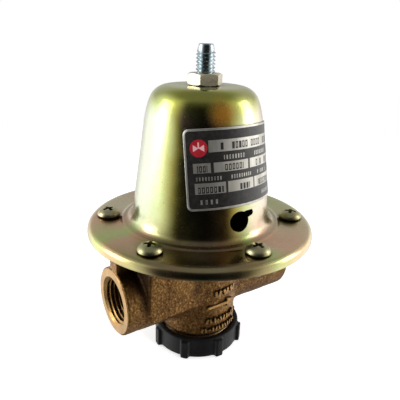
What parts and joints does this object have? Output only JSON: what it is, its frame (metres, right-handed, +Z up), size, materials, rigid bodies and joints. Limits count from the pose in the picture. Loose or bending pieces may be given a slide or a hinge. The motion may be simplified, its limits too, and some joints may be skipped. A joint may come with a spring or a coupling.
{
  "type": "pressure reducing valve",
  "caption": "Diaphragm pressure reducing valve with drawn bell bonnet, flange screws, adjusting screw with lock nut, cast body with two threaded ports and a ribbed bottom cap over a strainer.",
  "frame": {"origin": "centre of the bottom cap's underside, on the valve's vertical axis", "axes": "+Z up along the adjusting screw, inlet port at -X, outlet port at +X"},
  "size_m": [0.099, 0.0988, 0.1352],
  "materials": {
    "bronze": "as-cast, sandy",
    "yellow_zinc": "yellow chromate over zinc, satin gloss with faint rainbow tints",
    "screw_zinc": "yellow chromate over zinc",
    "plate_zinc": "yellow chromate over zinc, dull",
    "clear_zinc": "clear bluish zinc",
    "stainless": "plain",
    "spring_steel": "oiled spring wire",
    "brass": "turned",
    "black_plastic": "moulded, fine grain",
    "diaphragm_rubber": "fabric reinforced",
    "seat_rubber": "smooth",
    "plate_ink": "printed metal foil"
  },
  "bodies": {
    "valve_body": {"body_casting": "bronze", "bonnet": "yellow_zinc", "thread_bushing": "clear_zinc", "diaphragm": "diaphragm_rubber", "range_spring": "spring_steel", "seat_ring": "stainless", "check_spring": "stainless", "check_retainer": "stainless", "nameplate": "plate_ink", "flange_screw_1": "screw_zinc", "flange_screw_2": "screw_zinc", "flange_screw_3": "screw_zinc", "flange_screw_4": "screw_zinc", "flange_screw_5": "screw_zinc", "flange_screw_6": "screw_zinc"},
    "button": {"spring_button": "plate_zinc"},
    "screw": {"adjusting_screw": "clear_zinc"},
    "nut": {"lock_nut": "clear_zinc"},
    "trim": {"diaphragm_plate": "plate_zinc", "backing_plate": "stainless", "valve_stem": "brass", "stem_nut": "stainless", "disc_holder": "brass", "seat_disc": "seat_rubber", "disc_nut": "stainless"},
    "strainer": {"strainer_screen": "stainless"},
    "cap": {"bottom_cap": "black_plastic", "cap_o_ring": "seat_rubber"},
    "poppet": {"check_poppet": "brass"}
  },
  "joints": [
    {"name": "button_travel", "type": "slide", "parent": "valve_body", "child": "button", "axis": [0, 0, 1], "range_m": [-0.00564, 0.00282], "deforming": ["range_spring"]},
    {"name": "screw_turn", "type": "hinge", "parent": "button", "child": "screw", "pos_m": [0, 0, 0.115], "axis": [0, 0, 1], "range_deg": [-1440, 720]},
    {"name": "nut_turn", "type": "hinge", "parent": "valve_body", "child": "nut", "pos_m": [0, 0, 0.1217], "axis": [0, 0, 1], "range_deg": [0, 360]},
    {"name": "trim_lift", "type": "slide", "parent": "valve_body", "child": "trim", "axis": [0, 0, 1], "range_m": [0, 0.0025], "stiffness_N_per_m": 9000, "springref_m": -0.005, "deforming": ["diaphragm", "range_spring"]},
    {"name": "strainer_travel", "type": "slide", "parent": "valve_body", "child": "strainer", "axis": [0, 0, 1], "range_m": [-0.008, 0]},
    {"name": "cap_turn", "type": "hinge", "parent": "strainer", "child": "cap", "pos_m": [0, 0, 0.005], "axis": [0, 0, 1], "range_deg": [-1440, 0]},
    {"name": "check_lift", "type": "slide", "parent": "valve_body", "child": "poppet", "axis": [1, 0, 0], "range_m": [0, 0.0027], "stiffness_N_per_m": 60, "springref_m": -0.003, "deforming": ["check_spring"]}
  ],
  "couplings": [
    {"joint": "screw_turn", "follows": "button_travel", "rad_per_m": 4453},
    {"joint": "cap_turn", "follows": "strainer_travel", "rad_per_m": 3141.6}
  ]
}
